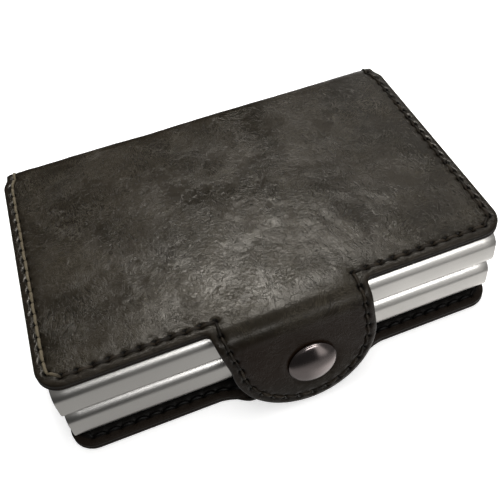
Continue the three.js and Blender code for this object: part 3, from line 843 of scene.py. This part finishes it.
leather = leather_material()
edge_paint = edge_material()
lining = lining_material()
brown_thread = thread_material("brown thread", rgb(22, 18, 13), rgb(52, 44, 34), rgb(10, 8, 6),
                               rgb(128, 118, 98))
black_thread = thread_material("black thread", rgb(5, 4, 4), rgb(9, 8, 7), rgb(3, 2, 2), rgb(16, 15, 14))
aluminium = aluminium_material()
plastic = plastic_material()
felt = fibre_material("felt", rgb(28, 28, 32), rgb(66, 66, 72), 3.0, 0.12)
foam = fibre_material("foam tape", rgb(14, 14, 14), rgb(34, 34, 34), 2.2, 0.06)
fibreboard = fibre_material("fibreboard", rgb(104, 90, 72), rgb(150, 134, 110), 1.4, 0.05)
pin_steel = metal_material("pin steel", rgb(150, 150, 148), rgb(176, 176, 174), 0.26)
gunmetal = metal_material("gunmetal", rgb(132, 123, 122), rgb(148, 139, 137), 0.17)

# ---- Leather, lining and stitching, piece by piece ----

ENDS = (V_TIP - 1, *CUTS, V_STUD_END + 1)
STRIP_PARTS = ("closing_tab", "top_cover", "spine_upper", "spine_lower", "bottom_cover", "stud_tab")

# The bodies of the parts that bend, and where the bend starts and ends as (y, z), for the leather
# and for the lining. The other parts ride on the body of their own name.
BENDS = {
    "closing_tab": ("top_cover", "closing_tab",
                    ((-35.2, 26.6), (-37.35, 24.9)), ((-35.2, 25.2), (-36.6, 24.5))),
    "spine_upper": ("spine", "top_cover",
                    ((32.4, 24.0), (29.9, 26.6)), ((31.6, 24.2), (29.9, 25.2))),
    "spine_lower": ("spine", "bottom_cover",
                    ((32.4, 3.8), (29.9, 1.2)), ((31.6, 3.6), (29.9, 2.6))),
    "stud_tab": ("bottom_cover", "stud_tab",
                 ((-35.24, 1.2), (-37.28, 3.3)), ((-35.24, 2.6), (-36.7, 3.5))),
}


def attach(obj, part):
    """Put a piece of the strip on its body; a piece that crosses a bend is only baked where it lies."""
    if part not in BENDS:
        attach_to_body(obj, part)
        return
    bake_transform(obj)


LAYERS = (
    (True, "leather", leather, "outer_leather", "outer", brown_thread),
    (False, "lining", lining, "lining", "inner", black_thread),
)
for part, low, high in zip(STRIP_PARTS, ENDS, ENDS[1:]):
    cad_part = "spine" if part.startswith("spine") else part
    for is_leather, layer, material, slot, face, thread in LAYERS:
        piece = skin(f"{part}_{layer}", low, high, is_leather, [material, edge_paint])
        attach(piece, part)
        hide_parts(f"{cad_part}_{layer}")
        seam = stitching(f"{part}_{face}_stitching", low, high, is_leather, thread)
        attach(seam, part)

# ---- Card cases ----

CASE_HALF_LENGTH = 50.6
CASE_WIDTH = 62.8
CASE_HEIGHT = 9.9
CASE_CORNER = 3.2
CASE_WALL = 0.9
CASE_BROKEN_EDGE = 0.14
CASE_MIDDLE = {"lower": (-1.7, 8.85), "upper": (-2.5, 18.95)}  # y and z


def rounded_section(width, height, radius, steps=14):
    x, y = width / 2 - radius, height / 2 - radius
    corners = ((x, y, 0), (-x, y, 90), (-x, -y, 180), (x, -y, 270))
    return np.vstack([arc(cx, cy, radius, start, start + 90, steps) for cx, cy, start in corners])


def case_shell():
    """An extruded tube with broken end edges, as points and faces."""
    end, edge = CASE_HALF_LENGTH, CASE_BROKEN_EDGE
    slight = edge * 0.3
    mouth = [(0, end - edge), (slight, end - slight), (edge, end),
             (CASE_WALL - edge, end), (CASE_WALL - slight, end - slight), (CASE_WALL, end - edge)]
    middle_xs = np.linspace(end - 3, -end + 3, 12)
    inside = [(CASE_WALL, x) for x in middle_xs]
    far = [(inset, -x) for inset, x in reversed(mouth)]
    outside = [(0, x) for x in middle_xs[::-1]]
    rings = mouth + inside + far + outside
    points = []
    for inset, x in rings:
        section = rounded_section(CASE_WIDTH - 2 * inset, CASE_HEIGHT - 2 * inset, CASE_CORNER - inset)
        points.append(np.column_stack([np.full(len(section), x), section]))
    around = len(points[0])
    faces = []
    for i in range(len(rings)):
        j = (i + 1) % len(rings)
        for k in range(around):
            m = (k + 1) % around
            faces.append((i * around + k, i * around + m, j * around + m, j * around + k))
    return np.vstack(points), faces


def case_matrix(side):
    """A case's place; the upper case lies the other way up."""
    turn = Matrix.Rotation(math.pi, 4, "X") if side == "upper" else Matrix.Identity(4)
    return Matrix.Translation(Vector((0, *CASE_MIDDLE[side])) * MM) @ turn


def fix_normals(obj):
    mesh = bmesh.new()
    mesh.from_mesh(obj.data)
    bmesh.ops.recalc_face_normals(mesh, faces=mesh.faces)
    mesh.to_mesh(obj.data)
    mesh.free()


def refined(node, name, body, width, material, segments=2):
    """A copy of a CAD piece with its sharp edges rounded."""
    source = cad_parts[node]
    mesh = bmesh.new()
    mesh.from_mesh(source.data)
    bmesh.ops.remove_doubles(mesh, verts=mesh.verts, dist=0.01 * MM)
    bmesh.ops.dissolve_limit(mesh, angle_limit=math.radians(3), verts=mesh.verts, edges=mesh.edges)
    sharp = [e for e in mesh.edges if len(e.link_faces) == 2 and e.calc_face_angle(0) > math.radians(35)]
    bmesh.ops.bevel(mesh, geom=sharp, offset=width * MM, segments=segments, profile=0.5, affect="EDGES",
                    clamp_overlap=True)
    bmesh.ops.recalc_face_normals(mesh, faces=mesh.faces)
    data = bpy.data.meshes.new(name)
    mesh.to_mesh(data)
    mesh.free()
    data.materials.clear()
    data.materials.append(material)
    data.polygons.foreach_set("use_smooth", np.ones(len(data.polygons), bool))
    data.set_sharp_from_angle(angle=math.radians(32))
    obj = bpy.data.objects.new(name, data)
    bpy.context.scene.collection.objects.link(obj)
    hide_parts(node)
    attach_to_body(obj, body)
    return obj


def paint(node, material):
    """Give a carried-over CAD piece its material."""
    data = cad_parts[node].data
    data.materials.clear()
    data.materials.append(material)


FRAME_EDGE = 0.18
LEVER_EDGE = 0.22
FELT_EDGE = 0.2
shell_points, shell_faces = case_shell()
for side, cover in (("lower", "bottom_cover"), ("upper", "top_cover")):
    shell = new_object(f"{side}_case_tube", shell_points, shell_faces, [aluminium])
    fix_normals(shell)
    shell.data.set_sharp_from_angle(angle=math.radians(50))
    shell.data.transform(case_matrix(side))
    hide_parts(f"{side}_case_shell")
    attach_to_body(shell, cover)
    for part in ("inner_frame", "mouth_frame"):
        moulding = refined(f"{side}_{part}", f"{side}_{part}_moulding", cover, FRAME_EDGE, plastic)
    arm = refined(f"{side}_eject_lever", f"{side}_lever_moulding", f"{side}_lever", LEVER_EDGE, plastic)
    strip = refined(f"{side}_friction_felt", f"{side}_felt_strip", cover, FELT_EDGE, felt, 3)
    paint(f"{side}_case_pad", foam)
    paint(f"{side}_lever_pin", pin_steel)
    paint(f"{cover}_board", fibreboard)

# ---- Snap: turned pieces about the Y axis, outward to -Y, at the tabs' snap points ----


def turned_piece(name, profile, matrix, material, around=64):
    """A piece turned from its profile of (radius, y) points."""
    angle = np.arange(around) * 2 * math.pi / around
    points, rings, faces = [], [], []
    for radius, y in profile:
        if radius < 1e-6:
            rings.append([len(points)])
            points.append((0, y, 0))
        else:
            rings.append(list(range(len(points), len(points) + around)))
            points += [(radius * math.cos(a), y, radius * math.sin(a)) for a in angle]
    for a, b in zip(rings, rings[1:]):
        for k in range(around):
            m = (k + 1) % around
            if len(a) == 1:
                faces.append((a[0], b[m], b[k]))
            elif len(b) == 1:
                faces.append((a[k], a[m], b[0]))
            else:
                faces.append((a[k], a[m], b[m], b[k]))
    obj = new_object(name, points, faces, [material])
    fix_normals(obj)
    obj.data.set_sharp_from_angle(angle=math.radians(38))
    obj.data.transform(matrix)
    return obj


def tab_matrix(y, z, drop):
    """The frame of a tab's snap: the tab leans, and drop runs down it from its fold line."""
    lean = Matrix.Rotation(-LEAN, 4, "X")
    down_tab = Matrix.Translation(Vector((SNAP_X, 0, -drop)) * MM)
    return Matrix.Translation(Vector((0, y, z)) * MM) @ lean @ down_tab


def dome(radius, low, rise, power=2.1, steps=22):
    """A domed face from its centre to its rim, outward to -Y."""
    r = radius * np.sin(np.linspace(0, QUARTER, steps))
    return [(x, -(low + rise * (1 - min(x / radius, 1) ** power) ** 0.72)) for x in r]


CLOSING_FOLD = (-37.25, 26.8)
STUD_FOLD = (-37.7927, 1.0)
on_closing_tab = tab_matrix(*CLOSING_FOLD, SNAP_DROP)
on_stud_tab = tab_matrix(*STUD_FOLD, -STUD_DROP)

CAP_RADIUS = 5.35
CAP_FACE = 1.42
CAP_RISE = 1.2
cap_profile = dome(CAP_RADIUS, CAP_FACE, CAP_RISE) + [
    (5.47, -1.36), (5.57, -1.25), (5.6, -1.12), (5.57, -1.0), (5.45, -0.93), (1.3, -0.93), (1.3, 1.35),
    (0, 1.35)]
socket_profile = [
    (1.35, 1.0), (5.0, 1.0), (5.0, 1.3), (4.92, 1.42), (4.75, 1.5), (4.45, 1.86), (4.3, 2.1), (4.1, 2.22),
    (3.9, 2.25), (3.5, 2.18), (3.3, 2.18), (2.95, 2.25), (2.72, 2.2), (2.6, 2.08), (2.6, 1.75), (2.72, 1.62),
    (2.6, 1.5), (2.55, 1.4), (1.7, 1.36), (1.35, 1.36), (1.35, 1.0)]
stud_profile = [
    (0, -1.9), (1.05, -1.9), (1.35, -1.86), (1.62, -1.75), (1.7, -1.6), (1.62, -1.45), (1.46, -1.3),
    (1.42, -1.12), (1.75, -1.08), (3.9, -1.08), (4.2, -1.04), (4.38, -0.95), (4.4, -0.82), (1.2, -0.82),
    (1.2, 0.5), (0, 0.5)]
post_rim = [(4.0 * math.cos(a) + 0.4, 0.82 + 0.6 * math.sin(a)) for a in np.linspace(1.3, 0, 12)]
post_profile = [(0, 1.5), (1.2, 1.5), *post_rim, (4.3, 0.76), (1.2, 0.76), (1.2, -0.5), (0, -0.5)]

for name, profile, matrix, body, node in (
    ("snap_dome", cap_profile, on_closing_tab, "closing_tab", "snap_cap"),
    ("snap_socket_ring", socket_profile, on_closing_tab, "closing_tab", "snap_socket"),
    ("snap_stud_head", stud_profile, on_stud_tab, "stud_tab", "snap_stud"),
    ("snap_post_back", post_profile, on_stud_tab, "stud_tab", "snap_post"),
):
    piece = turned_piece(name, profile, matrix, gunmetal)
    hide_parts(node)
    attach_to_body(piece, body)

# ---- Camera, floor and light ----

# The photo's viewing angle, found from the straight edges of the cover and the cases.
CAMERA_LENS = 51.4944
CAMERA_SHIFT = -0.06
CAMERA_POINT = (-24.27, -118.97, 147.27)
CAMERA_RIGHT = (0.93118, -0.35642, -0.07664)
CAMERA_FORWARD = (0.1906, 0.65516, -0.73106)

camera_data = bpy.data.cameras.new("camera")
camera_data.lens = CAMERA_LENS
camera_data.shift_x = CAMERA_SHIFT
camera_data.shift_y = CAMERA_SHIFT
camera_data.clip_start = 0.01
camera_data.clip_end = 20
camera = bpy.data.objects.new("camera", camera_data)
bpy.context.scene.collection.objects.link(camera)
right_axis = Vector(CAMERA_RIGHT).normalized()
forward = Vector(CAMERA_FORWARD).normalized()
up_axis = right_axis.cross(forward)
rotation = Matrix((right_axis, up_axis, -forward)).transposed().to_4x4()
camera.matrix_world = Matrix.Translation(Vector(CAMERA_POINT) * MM) @ rotation
bpy.context.scene.camera = camera


LIGHT_TARGET_HEIGHT = 14


def area_light(name, direction, distance, size, power, colour=(1, 1, 1)):
    """A soft light shining on the wallet from a direction, sizes in millimetres."""
    data = bpy.data.lights.new(name, "AREA")
    data.shape = "RECTANGLE"
    data.size, data.size_y = size[0] * MM, size[1] * MM
    data.energy = power
    data.color = colour
    light = bpy.data.objects.new(name, data)
    bpy.context.scene.collection.objects.link(light)
    away = Vector(direction).normalized()
    light.location = away * distance * MM + Vector((0, 0, LIGHT_TARGET_HEIGHT * MM))
    light.rotation_mode = "QUATERNION"
    light.rotation_quaternion = away.to_track_quat("Z", "Y")
    return light


area_light("sheen", (0.11, 0.495, 0.86), 850, (160, 220), 3.1, (1.0, 0.98, 0.93))
area_light("front", (0.2, -0.86, 0.5), 650, (340, 140), 1.05)
overhead = area_light("overhead", (0.0, -0.08, 1.0), 1000, (380, 900), 3.7)
overhead.visible_glossy = False

# The floor and the backdrop are one bowl, seen by the camera only.
FLOOR_SIDES = 64
FLOOR_RINGS = ((1.2, -0.0004), (2.4, -0.0004), (2.9, 0.1), (3.2, 0.35), (3.4, 0.8), (3.5, 3.0))  # metres


def bowl_mesh():
    """A floor disc whose rim curves up into a backdrop."""
    points = []
    for radius, height in FLOOR_RINGS:
        for i in range(FLOOR_SIDES):
            a = i * 2 * math.pi / FLOOR_SIDES
            points.append((radius * math.cos(a), radius * math.sin(a), height))
    faces = [tuple(range(FLOOR_SIDES))]
    for i in range(len(points) - FLOOR_SIDES):
        j = i + 1 if (i + 1) % FLOOR_SIDES else i + 1 - FLOOR_SIDES
        faces.append((i, i + FLOOR_SIDES, j + FLOOR_SIDES, j))
    mesh = bpy.data.meshes.new("floor")
    mesh.from_pydata(points, [], faces)
    mesh.polygons.foreach_set("use_smooth", np.ones(len(mesh.polygons), bool))
    return mesh


floor_shader = Shader("pale floor", Base_Color=(0.92, 0.92, 0.92, 1), Roughness=0.9,
                      Emission_Color=(1, 1, 1, 1), Emission_Strength=0.55)
floor = bpy.data.objects.new("floor", bowl_mesh())
bpy.context.scene.collection.objects.link(floor)
floor.data.materials.append(floor_shader.material)
floor.visible_glossy = False
floor.visible_diffuse = False
floor.visible_shadow = False

# The room: a lit lower half that is brighter to the right, a dim ceiling, and a pale wall low on
# the right.
world = bpy.data.worlds.new("studio")
world.use_nodes = True
room = world.node_tree
split = room.nodes.new("ShaderNodeSeparateXYZ")
room.links.new(room.nodes.new("ShaderNodeTexCoord").outputs["Generated"], split.inputs[0])


def room_ramp(axis, start, end, low, high):
    """An S curve along one axis of the room's direction."""
    ramp = room.nodes.new("ShaderNodeMapRange")
    ramp.interpolation_type = "SMOOTHSTEP"
    room.links.new(split.outputs[axis], ramp.inputs["Value"])
    for key, value in (("From Min", start), ("From Max", end), ("To Min", low), ("To Max", high)):
        ramp.inputs[key].default_value = value
    return ramp.outputs["Result"]


def room_math(operation, *values):
    """The values joined, one after another, by a sum or a product."""
    result = values[0]
    for value in values[1:]:
        node = room.nodes.new("ShaderNodeMath")
        node.operation = operation
        room.links.new(result, node.inputs[0])
        room.links.new(value, node.inputs[1])
        result = node.outputs[0]
    return result


lower_half = room_ramp("Z", -0.45, -0.62, 0.04, 0.38)
lower_right = room_math("MULTIPLY",
                        room_ramp("Z", -0.66, -0.8, 0.0, 1.0),
                        room_ramp("X", 0.0, 0.42, 0.0, 0.8))
right_wall = room_math("MULTIPLY",
                       room_ramp("Z", -0.5, -0.3, 0.0, 1.0),
                       room_ramp("X", 0.26, 0.36, 0.0, 0.95),
                       room_ramp("X", 0.45, 0.6, 1.0, 0.1))
ceiling = room_ramp("Z", 0.2, 0.7, 0.0, 0.1)
room.links.new(room_math("ADD", lower_half, lower_right, right_wall, ceiling),
               room.nodes["Background"].inputs["Strength"])
room.nodes["Background"].inputs["Color"].default_value = (1.0, 0.985, 0.965, 1)
bpy.context.scene.world = world
bpy.context.scene.view_settings.view_transform = "Standard"
